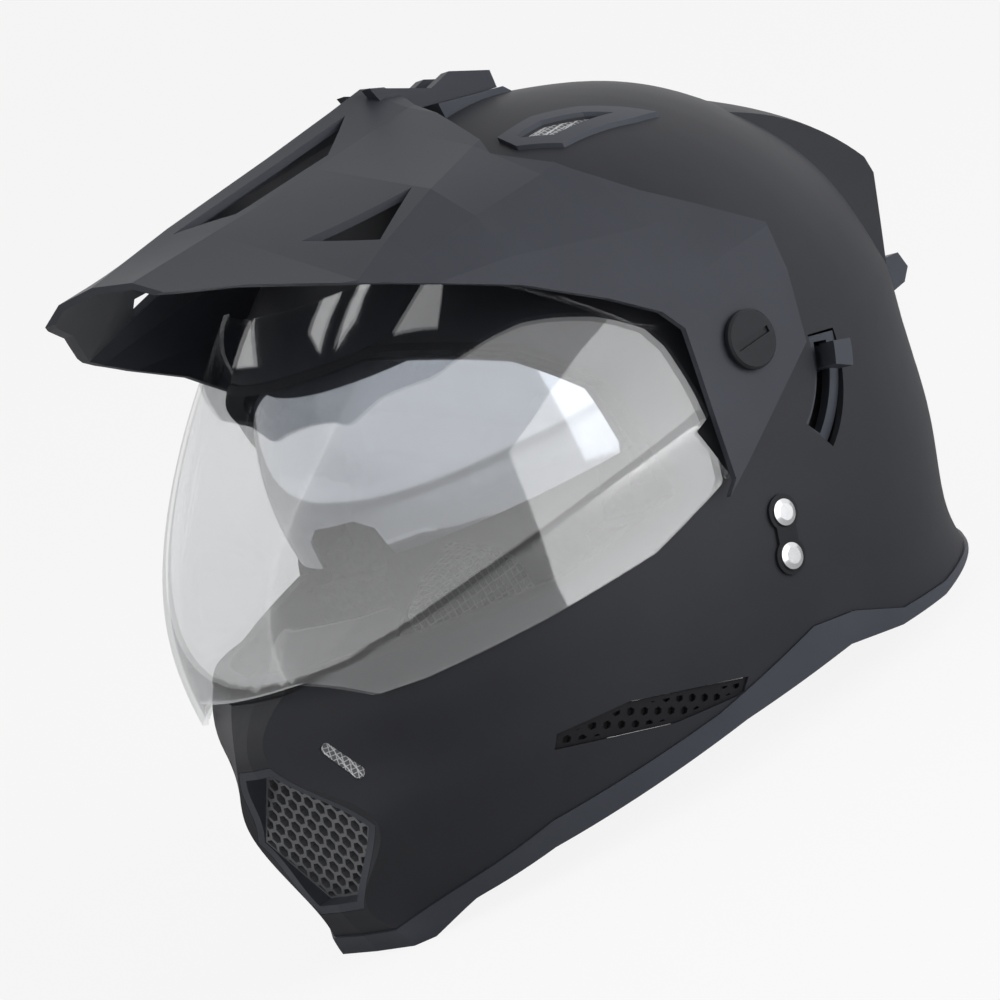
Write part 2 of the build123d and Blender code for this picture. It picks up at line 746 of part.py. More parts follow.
# Clear face shield with a round ear at each side
with BuildPart() as face_shield:
    add(shield_form(0))
    add(side_prism(scaled(shield_outline_shares, chin_reach, dome_base)), mode=Mode.INTERSECT)
    add(shield_form(shield_thickness), mode=Mode.SUBTRACT)
    ear_inner_x = shield_half_width - shield_thickness
    for ear in (side_disc(shield_ear_radius, ear_inner_x, shield_half_width),):
        add(ear)
        add(mirrored(ear))
    hole = side_disc(boss_radius + ear_clearance, base_room_inner_x, overrun)
    add(hole, mode=Mode.SUBTRACT)
    add(mirrored(hole), mode=Mode.SUBTRACT)
finish(face_shield.part, "face_shield")

# Silver sun visor: a round band turned about the line of its pins, cut to its outline
visor_low = radians(visor_low_angle)
visor_plane = Plane(
    origin=(0, visor_y, visor_z), x_dir=(1, 0, 0), z_dir=(0, -sin(visor_low), -cos(visor_low))
)
with BuildPart() as sun_visor:
    with BuildSketch(visor_plane):
        with BuildLine():
            inner = visor_radius - visor_thickness
            CenterArc((0, 0), visor_radius, 0, 180)
            CenterArc((0, 0), inner, 0, 180)
            Line((inner, 0), (visor_radius, 0))
            Line((-inner, 0), (-visor_radius, 0))
        make_face()
    revolve(axis=Axis((0, visor_y, visor_z), (-1, 0, 0)), revolution_arc=visor_sweep)
    add(side_prism(visor_outline), mode=Mode.INTERSECT)
    nose_points = [(x * visor_radius, visor_z + z * visor_radius) for x, z in nose_shares]
    add(front_prism(nose_points, -overrun, visor_y), mode=Mode.SUBTRACT)
    visor_hub_inner_x = visor_radius - visor_thickness
    hub = side_disc(visor_hub_radius, visor_hub_inner_x, visor_hub_outer_x, visor_y, visor_z)
    pin_hole = side_disc(visor_pin_radius + pin_clearance, 0, overrun, visor_y, visor_z)
    for piece in (hub, mirrored(hub)):
        add(piece)
    for piece in (pin_hole, mirrored(pin_hole)):
        add(piece, mode=Mode.SUBTRACT)
finish(sun_visor.part, "sun_visor")

# Mounts that hold the visor's pins, and the lever that turns with it
mount_outer_x = base_inner_x - fit_gap
with BuildPart() as visor_mount:
    add(side_disc(visor_pin_radius, mount_inner_x, mount_step_x, visor_y, visor_z))
    add(side_disc(lever_boss_radius, mount_step_x, mount_outer_x, visor_y, visor_z))
finish_pair(visor_mount.part, "visor_mount")
lever_outer_x = lever_inner_x + lever_plate
with BuildPart() as sun_visor_lever:
    add(side_disc(lever_hub_radius, lever_inner_x, lever_outer_x, visor_y, visor_z))
    add(arc_block(
        lever_boss_radius, lever_radius + lever_tab_radial,
        lever_start - lever_arm_half_angle, lever_start + lever_arm_half_angle, lever_inner_x, lever_outer_x,
    ))
    add(arc_block(
        lever_radius - lever_neck_half, lever_radius + lever_neck_half,
        lever_start - lever_arm_half_angle, lever_start + lever_arm_half_angle,
        lever_inner_x, lever_neck_outer_x,
    ))
    add(arc_block(
        lever_radius - lever_tab_radial, lever_radius + lever_tab_radial,
        lever_start - lever_tab_half_angle, lever_start + lever_tab_half_angle,
        lever_neck_outer_x, lever_tab_outer_x,
    ))
    add(side_disc(lever_boss_radius + pin_clearance, lever_inner_x, lever_outer_x, visor_y, visor_z),
        mode=Mode.SUBTRACT)
finish(sun_visor_lever.part, "sun_visor_lever")

# Curved guide that the lever's tab sticks out of
with BuildPart() as lever_track:
    add(arc_block(
        lever_radius - track_half_width + track_clearance, lever_radius + track_half_width - track_clearance,
        track_end + track_end_angle, track_start - track_end_angle, track_inner_x, track_outer_x,
    ))
    add(arc_block(
        lever_radius - track_slot_half_width, lever_radius + track_slot_half_width,
        track_end + track_margin_angle - track_slot_margin_angle,
        track_start - track_margin_angle + track_slot_margin_angle, track_inner_x, track_outer_x,
    ), mode=Mode.SUBTRACT)
finish(lever_track.part, "lever_track")


def peak_section(shares, wall):
    """One section across the peak: its outline from the top centre down, drawn in by wall."""
    along, centre, *corners = shares
    points = [(0, centre * peak_height)] + scaled(corners, peak_half_width, peak_height)
    if wall:
        moves = peak_insets(points)
        points = [(max(0, x - wall * side), z - wall * top) for (x, z), (side, top) in zip(points, moves)]
    return along * peak_reach, points


def peak_insets(points):
    """How far each corner moves across and down for a wall of one, from its two sides' slopes."""
    moves = []
    for index, (x, z) in enumerate(points):
        before = points[index - 1] if index else (-points[1][0], points[1][1])
        after = points[index + 1] if index + 1 < len(points) else (x, z - 1)
        normals = []
        for (x0, z0), (x1, z1) in ((before, (x, z)), ((x, z), after)):
            size = sqrt((x1 - x0) ** 2 + (z1 - z0) ** 2)
            normals.append(((z0 - z1) / size, (x1 - x0) / size))
        (a, b), (c, d) = normals
        spread = 1 + a * c + b * d
        moves.append(((a + c) / spread, (b + d) / spread))
    return moves


def peak_form(wall):
    """The peak as a solid under its faceted outside, drawn in by wall."""
    with BuildPart() as form:
        for shares in peak_section_shares:
            along, points = peak_section(shares, wall)
            with BuildSketch(Plane.XZ.offset(-along)):
                with BuildLine():
                    Polyline(*points, *[(-x, z) for x, z in reversed(points[1:])], close=True)
                make_face()
        loft(ruled=True)
    return form.part


# Peak: a faceted shell with side wings, cut-outs and a fork over the crown
peak_outline = scaled(peak_outline_shares, peak_reach, peak_height)
with BuildPart() as peak:
    add(peak_form(0))
    add(peak_form(peak_wall), mode=Mode.SUBTRACT)
    add(side_prism(peak_outline), mode=Mode.INTERSECT)
    for shares in (side_hole_shares, centre_hole_shares):
        corners = [(x * peak_half_width, y * peak_reach) for x, y in shares]
        hole = top_prism(corners, dome_base, overrun)
        add(hole, mode=Mode.SUBTRACT)
        add(mirrored(hole), mode=Mode.SUBTRACT)
    fork_points = scaled(fork_shares, peak_reach, peak_height)
    prong = side_prism(fork_points, fork_spread - fork_width / 2, fork_spread + fork_width / 2)
    add(prong)
    add(mirrored(prong))
    hole = side_disc(boss_bore_radius, dome_base, overrun)
    add(hole, mode=Mode.SUBTRACT)
    add(mirrored(hole), mode=Mode.SUBTRACT)
finish(peak.part, "peak")

# Bracket on the crown under the peak's fork
with BuildPart() as peak_top_mount:
    add(side_prism(scaled(mount_shares, peak_reach, peak_height), -mount_half_width, mount_half_width))
    add(skin, mode=Mode.SUBTRACT)
finish(peak_top_mount.part, "peak_top_mount")

# Chin vent: a frame in the shell's opening and a honeycomb set back in it
with BuildPart() as chin_vent_frame:
    add(front_prism(drawn_in(vent_points, fit_gap), -overrun, frame_back_y))
    add(skin, mode=Mode.INTERSECT)
    add(front_prism(drawn_in(vent_points, vent_rim), -overrun, 0), mode=Mode.SUBTRACT)
finish(chin_vent_frame.part, "chin_vent_frame")
with BuildPart() as chin_vent_grille:
    with BuildSketch(Plane.XZ.offset(-grille_back_y)):
        with BuildLine():
            Polyline(*drawn_in(vent_points, vent_rim), close=True)
        make_face()
        with BuildSketch(mode=Mode.SUBTRACT):
            with Locations((0, dome_base * cell_centre_share)):
                with HexLocations(cell_radius + cell_wall / 2, cells_across, cells_up):
                    RegularPolygon(cell_radius, 6)
            with BuildLine():
                Polyline(*drawn_in(vent_points, vent_rim + cell_wall), close=True)
            make_face(mode=Mode.INTERSECT)
    extrude(amount=grille_thickness)
finish(chin_vent_grille.part, "chin_vent_grille")


def sheet_in(block, depth, thickness):
    """The part of a block between two depths under the outer surface."""
    with BuildPart() as sheet:
        add(block)
        add(shell_form(depth), mode=Mode.INTERSECT)
        add(shell_form(depth + thickness), mode=Mode.SUBTRACT)
    return sheet.part


# Meshes in the chin slits
slit_mesh = slit_block(slit_length - 2 * fit_gap, slit_width - 2 * fit_gap, -overrun, slit_back_y)
finish_pair(sheet_in(slit_mesh, mesh_depth, mesh_thickness), "chin_mesh")

# Perforated side vents
with BuildPart() as side_vent_block:
    with BuildSketch(Plane.YZ.offset(side_vent_inner_x)):
        with BuildLine():
            Polyline(*drawn_in(side_vent_points, fit_gap), close=True)
        make_face()
        with BuildSketch(mode=Mode.SUBTRACT):
            with Locations(side_vent_points[2]):
                with HexLocations(perforation_pitch / 2, perforations_across, perforations_up):
                    RegularPolygon(perforation_radius, 6)
            with BuildLine():
                Polyline(*drawn_in(side_vent_points, perforation_margin), close=True)
            make_face(mode=Mode.INTERSECT)
    extrude(amount=overrun)
finish_pair(sheet_in(side_vent_block.part, side_vent_depth, side_vent_thickness), "side_vent")

# Top vents: a raised frame on the shell and a mesh in its opening
top_vent_opening = top_prism(drawn_in(top_vent_points, top_vent_rim), top_vent_low_z, overrun)
with BuildPart() as top_vent_frame:
    add(shell_form(-top_vent_proud))
    add(top_prism(top_vent_points, top_vent_low_z, overrun), mode=Mode.INTERSECT)
    add(top_vent_opening, mode=Mode.SUBTRACT)
    add(skin, mode=Mode.SUBTRACT)
finish_pair(top_vent_frame.part, "top_vent")
finish_pair(sheet_in(top_vent_opening, mesh_depth, mesh_thickness), "top_mesh")

# Louvred exhaust vents under the spoiler
with BuildPart() as rear_vent:
    with BuildSketch(Plane.YZ.offset(rear_vent_x - rear_vent_width / 2)):
        with BuildLine():
            Polyline(*scaled(rear_vent_shares, half_length, dome_base), close=True)
        make_face()
    extrude(amount=rear_vent_width)
    for step in range(louvre_count):
        with BuildSketch(Plane.XY.offset(louvre_z + step * louvre_pitch)):
            with Locations((rear_vent_x, louvre_y)):
                Rectangle(louvre_length, louvre_depth)
        extrude(amount=louvre_height, mode=Mode.SUBTRACT)
    add(skin, mode=Mode.SUBTRACT)
    add(spoiler, mode=Mode.SUBTRACT)
finish_pair(rear_vent.part, "rear_vent")

# Strap anchors: a plate with two rivets through the shell at each side
with BuildPart() as anchor_block:
    with BuildSketch(Plane.YZ.offset(base_room_inner_x)):
        with Locations(*rivet_centres):
            Circle(plate_radius)
        with Locations((anchor_y, anchor_z)):
            Rectangle(rivet_pitch, plate_waist, rotation=anchor_tilt)
        with Locations(*rivet_centres):
            Circle(rivet_shank_radius + pin_clearance, mode=Mode.SUBTRACT)
    extrude(amount=overrun)
anchor_face = shell_form(-plate_proud)
with BuildPart() as anchor_plate:
    add(anchor_face)
    add(anchor_block.part, mode=Mode.INTERSECT)
    add(skin, mode=Mode.SUBTRACT)
finish_pair(anchor_plate.part, "anchor_plate")
with BuildPart() as side_rivets:
    for y, z in rivet_centres:
        top_x = rivet_face_x + (z - anchor_z) * rivet_lean + rivet_height
        add(side_disc(rivet_radius, base_inner_x, top_x, y, z))
    heads = side_rivets.faces().sort_by(Axis.X)[-2:]
    chamfer(heads.edges(), length=rivet_bevel, length2=2 * rivet_bevel)
    add(anchor_face, mode=Mode.SUBTRACT)
    for y, z in rivet_centres:
        add(side_disc(rivet_shank_radius, strap_outer_x, rivet_face_x + rivet_bevel, y, z))
with BuildPart() as strap_rivets:
    add(side_rivets.part)
    add(mirrored(side_rivets.part))
finish(strap_rivets.part, "strap_rivets")


def strap_run(end_x):
    """A flat strap on the wearer's left: down the side, round a bend, then level to end_x."""
    low_z = strap_run_z - strap_thickness / 2
    high_z = strap_run_z + strap_thickness / 2
    with BuildPart() as run:
        with BuildSketch(strap_face) as outline:
            with BuildLine():
                Polyline(
                    (strap_outer_x, strap_top_z), (strap_outer_x, low_z), (end_x, low_z), (end_x, high_z),
                    (strap_inner_x, high_z), (strap_inner_x, strap_top_z), close=True,
                )
            make_face()
            corners = outline.vertices()
            fillet(corners.sort_by_distance((strap_outer_x, low_z))[0], radius=strap_bend)
            corner = outline.vertices().sort_by_distance((strap_inner_x, high_z))[0]
            fillet(corner, radius=strap_bend - strap_thickness)
        extrude(amount=strap_width)
    return run.part


def strap_ring(length, radius):
    """A flat band's closed turn: two half circles and two level runs, one thickness wide."""
    with BuildPart() as turn:
        with BuildSketch(strap_face):
            SlotCenterToCenter(length, 2 * radius)
            SlotCenterToCenter(length, 2 * (radius - strap_thickness), mode=Mode.SUBTRACT)
        extrude(amount=strap_width)
    return turn.part


# Chin straps: one holds the two rings in its looped end, the other has a folded end
strap_face = Plane.XZ.offset(-strap_near_y - strap_width)
loop_radius = ring_wire_radius + ring_clearance + strap_thickness
loop_centre_x = ring_x + ring_pitch / 2
with BuildPart() as left_strap:
    add(strap_run(loop_centre_x + ring_pitch / 2 + loop_radius - strap_thickness / 2))
    add(Pos(loop_centre_x, 0, strap_run_z) * strap_ring(ring_pitch, loop_radius))
finish(left_strap.part, "left_strap")
with BuildPart() as fold:
    with BuildSketch(strap_face):
        with Locations((tuck_end_x / 2 + right_strap_end_x / 2, strap_run_z - tuck_drop / 2)):
            SlotCenterToCenter(tuck_end_x - right_strap_end_x, tuck_drop + strap_thickness)
            SlotCenterToCenter(tuck_end_x - right_strap_end_x, tuck_drop - strap_thickness, mode=Mode.SUBTRACT)
        with Locations((tuck_end_x + tuck_drop, strap_run_z - tuck_drop / 2)):
            Rectangle(2 * tuck_drop, 3 * tuck_drop, mode=Mode.SUBTRACT)
    extrude(amount=strap_width)
with BuildPart() as plain_strap:
    add(strap_run(right_strap_end_x))
    add(fold.part)
finish(mirrored(plain_strap.part), "right_strap")


def d_ring(leg_x):
    """A wire ring shaped like a D, hanging from its straight leg."""
    with BuildPart() as ring:
        with BuildLine(Plane(origin=(leg_x, anchor_y, strap_run_z), x_dir=(0, 1, 0), z_dir=(1, 0, 0))) as wire:
            low = -ring_side_length
            FilletPolyline(
                (-ring_half_width, low), (-ring_half_width, 0), (ring_half_width, 0), (ring_half_width, low),
                radius=ring_corner_radius,
            )
            ThreePointArc((ring_half_width, low), (0, low - ring_half_width), (-ring_half_width, low))
        with BuildSketch(Plane(origin=wire.line @ 0, z_dir=wire.line % 0)):
            RegularPolygon(ring_wire_radius, 8)
        sweep()
    return ring.part


finish(d_ring(ring_x), "d_ring_front")
finish(d_ring(ring_x + ring_pitch), "d_ring_back")

# Centre the whole over the origin and write each piece
low_y = min(part.bounding_box().min.Y for part in pieces.values())
high_y = max(part.bounding_box().max.Y for part in pieces.values())
shift = Pos(0, -(low_y + high_y) / 2, 0)
print("moved along Y by", -(low_y + high_y) / 2)
for name, part in pieces.items():
    placed = shift * part
    placed.label = name
    export_step(placed, f"parts/{name}.step")
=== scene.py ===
"""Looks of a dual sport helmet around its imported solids: finishes, soft parts, straps and a pale studio."""

import logging
import math
from dataclasses import dataclass
from enum import Enum
from typing import Any, Iterable, Sequence

import bmesh
import bpy
from mathutils import Matrix, Vector


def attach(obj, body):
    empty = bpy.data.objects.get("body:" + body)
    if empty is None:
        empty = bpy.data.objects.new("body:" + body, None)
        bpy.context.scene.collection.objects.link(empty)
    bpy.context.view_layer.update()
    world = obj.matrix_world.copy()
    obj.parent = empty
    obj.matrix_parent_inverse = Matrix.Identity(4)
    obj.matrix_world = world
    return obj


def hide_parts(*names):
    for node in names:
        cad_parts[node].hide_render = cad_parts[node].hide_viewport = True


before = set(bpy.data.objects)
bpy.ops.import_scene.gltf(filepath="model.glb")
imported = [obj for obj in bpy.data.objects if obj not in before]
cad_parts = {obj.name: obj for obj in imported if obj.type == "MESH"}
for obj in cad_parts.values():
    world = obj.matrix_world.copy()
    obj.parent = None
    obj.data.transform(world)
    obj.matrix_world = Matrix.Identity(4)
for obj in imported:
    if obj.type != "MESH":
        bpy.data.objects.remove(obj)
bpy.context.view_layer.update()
LOG = logging.getLogger("helmet")
MM = 0.001

Point = tuple[float, float, float]
Colour = tuple[float, float, float]


class Side(Enum):
    """The wearer's left (+X) or right (-X)."""

    LEFT = 1.0
    RIGHT = -1.0

    @property
    def word(self) -> str:
        """The prefix of this side's node names."""
        return self.name.lower()


class Signal:
    """A shader socket that can be used in Python expressions; each operator adds one Math node."""

    def __init__(self, board: "Board", socket: Any) -> None:
        """Keep the board and the output socket.

        Args:
            board: the node board that new Math nodes go on.
            socket: the output socket that this signal stands for.
        """
        self.board = board
        self.socket = socket

    def _math(self, operation: str, first: Any, second: Any = 0.0) -> "Signal":
        """Add a Math node.

        Args:
            operation: the Math node's operation.
            first: a number or a signal.
            second: a number or a signal.

        Returns:
            The node's value.
        """
        return self.board.add("ShaderNodeMath", {"operation": operation}, {0: first, 1: second})

    def __add__(self, other: Any) -> "Signal":
        """self + other."""
        return self._math("ADD", self, other)

    def __radd__(self, other: Any) -> "Signal":
        """other + self."""
        return self._math("ADD", other, self)

    def __sub__(self, other: Any) -> "Signal":
        """self - other."""
        return self._math("SUBTRACT", self, other)

    def __rsub__(self, other: Any) -> "Signal":
        """other - self."""
        return self._math("SUBTRACT", other, self)

    def __mul__(self, other: Any) -> "Signal":
        """self * other."""
        return self._math("MULTIPLY", self, other)

    def __rmul__(self, other: Any) -> "Signal":
        """other * self."""
        return self._math("MULTIPLY", other, self)

    def sine(self) -> "Signal":
        """The sine of the signal."""
        return self._math("SINE", self)

    def at_least(self, other: Any) -> "Signal":
        """The larger of the signal and other."""
        return self._math("MAXIMUM", self, other)

    def clamped(self) -> "Signal":
        """The signal held between 0 and 1."""
        return self.board.add("ShaderNodeClamp", {}, {0: self})


class Board:
    """The node board of one material or world."""

    def __init__(self, tree: Any) -> None:
        """Empty the tree.

        Args:
            tree: the node tree to fill.
        """
        self.tree = tree
        tree.nodes.clear()

    def add(self, kind: str, settings: dict[str, Any], inputs: dict[Any, Any], output: Any = 0) -> Signal:
        """Add any node.

        Args:
            kind: the node's type.
            settings: its properties, set before its sockets; "stops" sets a ramp's stops.
            inputs: values or signals by socket name or number.
            output: the name or number of the output to give back.

        Returns:
            The chosen output as a signal.
        """
        node = self.tree.nodes.new(kind)
        for name, value in settings.items():
            if name == "stops":
                self._set_stops(node, value)
            else:
                setattr(node, name, value)
        for name, value in inputs.items():
            if isinstance(value, Signal):
                self.tree.links.new(value.socket, node.inputs[name])
            else:
                node.inputs[name].default_value = value
        return Signal(self, node.outputs[output] if len(node.outputs) else None)

    @staticmethod
    def _set_stops(node: Any, stops: Sequence[tuple[float, Colour]]) -> None:
        """Give a ramp its stops.

        Args:
            node: the ramp.
            stops: position and colour pairs, in order.
        """
        elements = node.color_ramp.elements
        while len(elements) < len(stops):
            elements.new(1.0)
        for element, (position, colour) in zip(elements, stops):
            element.position = position
            element.color = (*colour, 1.0)

    def place(self) -> Signal:
        """The point's own place in metres."""
        return self.add("ShaderNodeTexCoord", {}, {}, "Object")

    def noise(self, size: float, detail: float = 3.0, roughness: float = 0.55) -> Signal:
        """Even noise.

        Args:
            size: the width of its grains in metres.
            detail: how many finer layers it has.
            roughness: how strong the finer layers are.

        Returns:
            A value round 0.5.
        """
        settings = {"Vector": self.place(), "Scale": 1.0 / size, "Detail": detail, "Roughness": roughness}
        return self.add("ShaderNodeTexNoise", {}, settings, 0)

    def along(self, axis: str) -> Signal:
        """One coordinate of the point's place.

        Args:
            axis: X, Y or Z.

        Returns:
            The coordinate in metres.
        """
        return self.add("ShaderNodeSeparateXYZ", {}, {0: self.place()}, axis)

    def blend(self, factor: Any, first: Any, second: Any) -> Signal:
        """Mix two colours.

        Args:
            factor: 0 for the first, 1 for the second.
            first: a colour or a signal.
            second: a colour or a signal.

        Returns:
            The mixed colour.
        """
        colours = [(*value, 1.0) if isinstance(value, tuple) else value for value in (first, second)]
        return self.add("ShaderNodeMix", {"data_type": "RGBA"}, {0: factor, 6: colours[0], 7: colours[1]}, 2)

    def bump(self, height: Signal, depth: float, strength: float = 1.0) -> Signal:
        """A normal from a height.

        Args:
            height: the height, from 0 to 1.
            depth: what a height of 1 stands for, in metres.
            strength: how much of the bump shows.

        Returns:
            The bent normal.
        """
        return self.add("ShaderNodeBump", {}, {"Strength": strength, "Distance": depth, "Height": height})

    def surface(self, shader: Signal, kind: str = "ShaderNodeOutputMaterial") -> None:
        """Send a shader to the output node of this kind."""
        self.add(kind, {}, {"Surface": shader})


def board_for(name: str) -> tuple[Any, Board]:
    """Make a material.

    Args:
        name: the material's name.

    Returns:
        The material and its empty board.
    """
    material = bpy.data.materials.new(name)
    material.use_nodes = True
    return material, Board(material.node_tree)


@dataclass(frozen=True)
class MouldedPlastic:
    """Moulded plastic with a fine grain, faint cloudiness and dull scuffs."""

    name: str
    colour: Colour
    roughness: float = 0.46
    grain: float = 0.6 * MM
    grain_depth: float = 0.03 * MM
    grain_strength: float = 0.5
    cloud: float = 45 * MM
    cloud_roughness: float = 0.1
    light_share: float = 1.22
    light_lift: float = 0.002
    dark_share: float = 0.82
    scuff: float = 7 * MM
    scuff_level: float = 0.62
    scuff_gain: float = 4.0
    scuff_roughness: float = 0.12
    shine: float = 0.2

    def make(self) -> Any:
        """Build the material.

        Returns:
            The material.
        """
        material, board = board_for(self.name)
        clouds = board.noise(self.cloud, 4.0)
        scuffs = (board.noise(self.scuff, 6.0, 0.7) - self.scuff_level).at_least(0.0) * self.scuff_gain
        light = tuple(min(1.0, value * self.light_share + self.light_lift) for value in self.colour)
        dark = tuple(value * self.dark_share for value in self.colour)
        rough = (
            self.roughness - self.cloud_roughness / 2 + clouds * self.cloud_roughness
            + scuffs.clamped() * self.scuff_roughness
        )
        normal = board.bump(board.noise(self.grain, 2.0), self.grain_depth, self.grain_strength)
        shader = board.add("ShaderNodeBsdfPrincipled", {}, {
            "Base Color": board.blend(clouds, dark, light), "Roughness": rough, "Normal": normal,
            "Specular IOR Level": self.shine,
        })
        board.surface(shader)
        return material


@dataclass(frozen=True)
class BrightMetal:
    """Plated steel with fine brushed lines and small rubs."""

    name: str
    colour: Colour
    roughness: float = 0.18
    line: float = 0.35 * MM
    line_depth: float = 0.01 * MM
    line_strength: float = 0.3
    rub: float = 3 * MM
    rub_share: float = 0.85
    rub_roughness: float = 0.12

    def make(self) -> Any:
        """Build the material.

        Returns:
            The material.
        """
        material, board = board_for(self.name)
        rubs = board.noise(self.rub, 4.0, 0.65)
        lines = (board.along("Z") * (math.tau / self.line)).sine() * 0.5 + 0.5
        colour = board.blend(rubs, tuple(value * self.rub_share for value in self.colour), self.colour)
        shader = board.add("ShaderNodeBsdfPrincipled", {}, {
            "Base Color": colour, "Metallic": 1.0, "Roughness": self.roughness + rubs * self.rub_roughness,
            "Normal": board.bump(lines, self.line_depth, self.line_strength),
        })
        board.surface(shader)
        return material


@dataclass(frozen=True)
class SilverMirror:
    """Mirror-coated visor: bluish silver with a soft haze and a few wiping marks."""

    name: str
    colour: Colour
    roughness: float = 0.08
    haze: float = 30 * MM
    haze_depth: float = 0.02 * MM
    haze_strength: float = 0.2
    light_share: float = 1.12
    wipe: float = 4 * MM
    wipe_level: float = 0.6
    wipe_gain: float = 0.5
    metallic: float = 0.85
    coat: float = 0.3

    def make(self) -> Any:
        """Build the material.

        Returns:
            The material.
        """
        material, board = board_for(self.name)
        haze = board.noise(self.haze, 3.0)
        wipes = (board.noise(self.wipe, 5.0, 0.7) - self.wipe_level).at_least(0.0) * self.wipe_gain
        light = tuple(min(1.0, value * self.light_share) for value in self.colour)
        colour = board.blend(haze, self.colour, light)
        shader = board.add("ShaderNodeBsdfPrincipled", {}, {
            "Base Color": colour, "Metallic": self.metallic, "Roughness": self.roughness + wipes,
            "Normal": board.bump(haze, self.haze_depth, self.haze_strength), "Coat Weight": self.coat,
        })
        board.surface(shader)
        return material


@dataclass(frozen=True)
class ClearSheet:
    """Clear moulded sheet: see-through, made more mirror-like low down as a painted reflection, and with
    stronger reflections at a slant.
    """

    name: str
    tint: Colour
    mirror: Colour = (0.97, 0.975, 0.98)
    index: float = 1.5
    gloss: float = 0.03
    base_reflection: float = 0.08
    slant_reflection: float = 0.25
    painted_reflection_low: float = 92 * MM
    painted_reflection_high: float = 150 * MM
    painted_reflection_strength: float = 0.06
    cloud: float = 18 * MM
    cloud_depth: float = 0.01 * MM
    cloud_strength: float = 0.1
    cloud_reflection: float = 0.01
    cloud_gloss: float = 0.02
    scratch: float = 2.5 * MM
    scratch_level: float = 0.66
    scratch_gain: float = 0.6

    def make(self) -> Any:
        """Build the material.

        Returns:
            The material.
        """
        material, board = board_for(self.name)
        slant = board.add("ShaderNodeFresnel", {}, {"IOR": self.index})
        clouds = board.noise(self.cloud, 4.0)
        # painted reflection: the shield is made more mirror-like low down, fading out higher up
        rise = (self.painted_reflection_high - board.along("Z")) * (1.0 / (self.painted_reflection_high - self.painted_reflection_low))
        painted_reflection = rise.clamped() * self.painted_reflection_strength
        worn = board.noise(self.scratch, 6.0, 0.75) - self.scratch_level
        scratches = worn.at_least(0.0) * self.scratch_gain
        reflection = slant * self.slant_reflection + self.base_reflection + painted_reflection
        factor = (reflection + clouds * self.cloud_reflection + scratches).clamped()
        clear = board.add("ShaderNodeBsdfTransparent", {}, {"Color": (*self.tint, 1.0)})
        shine = board.add("ShaderNodeBsdfPrincipled", {}, {
            "Base Color": (*self.mirror, 1.0), "Metallic": 1.0,
            "Roughness": self.gloss + clouds * self.cloud_gloss,
            "Normal": board.bump(clouds, self.cloud_depth, self.cloud_strength),
        })
        board.surface(board.add("ShaderNodeMixShader", {}, {0: factor, 1: clear, 2: shine}))
        return material


@dataclass(frozen=True)
class Rubber:
    """Soft black rubber with a chalky bloom."""

    name: str
    colour: Colour
    roughness: float = 0.7
    bloom: float = 5 * MM
    bloom_share: float = 1.5
    bloom_lift: float = 0.003
    bloom_roughness: float = 0.15
    grain: float = 0.4 * MM
    grain_depth: float = 0.02 * MM
    grain_strength: float = 0.6
    shine: float = 0.25

    def make(self) -> Any:
        """Build the material.

        Returns:
            The material.
        """
        material, board = board_for(self.name)
        bloom = board.noise(self.bloom, 5.0, 0.65)
        chalky = tuple(value * self.bloom_share + self.bloom_lift for value in self.colour)
        shader = board.add("ShaderNodeBsdfPrincipled", {}, {
            "Base Color": board.blend(bloom, self.colour, chalky),
            "Roughness": self.roughness + bloom * self.bloom_roughness, "Specular IOR Level": self.shine,
            "Normal": board.bump(board.noise(self.grain, 2.0), self.grain_depth, self.grain_strength),
        })
        board.surface(shader)
        return material


@dataclass(frozen=True)
class BeadFoam:
    """Moulded bead foam: rounded cells a few millimetres wide."""

    name: str
    colour: Colour
    bead: float = 3.5 * MM
    middle_share: float = 1.25
    border_share: float = 0.6
    roughness: float = 0.78
    border_roughness: float = 0.1
    depth: float = 0.25 * MM
    strength: float = 0.5
    shine: float = 0.2

    def make(self) -> Any:
        """Build the material.

        Returns:
            The material.
        """
        material, board = board_for(self.name)
        cells = board.add(
            "ShaderNodeTexVoronoi", {"feature": "F1"},
            {"Vector": board.place(), "Scale": 1.0 / self.bead}, "Distance",
        )
        middle = tuple(value * self.middle_share for value in self.colour)
        border = tuple(value * self.border_share for value in self.colour)
        shader = board.add("ShaderNodeBsdfPrincipled", {}, {
            "Base Color": board.blend(cells, middle, border),
            "Roughness": self.roughness + cells * self.border_roughness, "Specular IOR Level": self.shine,
            "Normal": board.bump(1.0 - cells, self.depth, self.strength),
        })
        board.surface(shader)
        return material


@dataclass(frozen=True)
class HexMeshCloth:
    """Open mesh, of lining cloth or of wire: small staggered cells with bright ribs."""

    name: str
    thread: Colour
    gap: Colour
    cell: float = 3.2 * MM
    roughness: float = 0.82
    metallic: float = 0.0
    unevenness: float = 0.15
    rib_sharpness: float = 7.0
    fluff: float = 0.5 * MM
    fluff_share: float = 0.2
    fluff_roughness: float = 0.12
    depth: float = 0.35 * MM
    strength: float = 0.7
    shine: float = 0.2
    sheen: float = 0.25

    def make(self) -> Any:
        """Build the material.

        Returns:
            The material.
        """
        material, board = board_for(self.name)
        edge = board.add(
            "ShaderNodeTexVoronoi", {"feature": "DISTANCE_TO_EDGE"},
            {"Vector": board.place(), "Scale": 1.0 / self.cell, "Randomness": self.unevenness}, "Distance",
        )
        rib = (1.0 - edge * self.rib_sharpness).clamped()
        fluff = board.noise(self.fluff, 3.0)
        height = rib * (1.0 - self.fluff_share) + fluff * self.fluff_share
        shader = board.add("ShaderNodeBsdfPrincipled", {}, {
            "Base Color": board.blend(rib, self.gap, self.thread),
            "Roughness": self.roughness + fluff * self.fluff_roughness,
            "Specular IOR Level": self.shine, "Sheen Weight": self.sheen, "Metallic": self.metallic,
            "Normal": board.bump(height, self.depth, self.strength),
        })
        board.surface(shader)
        return material


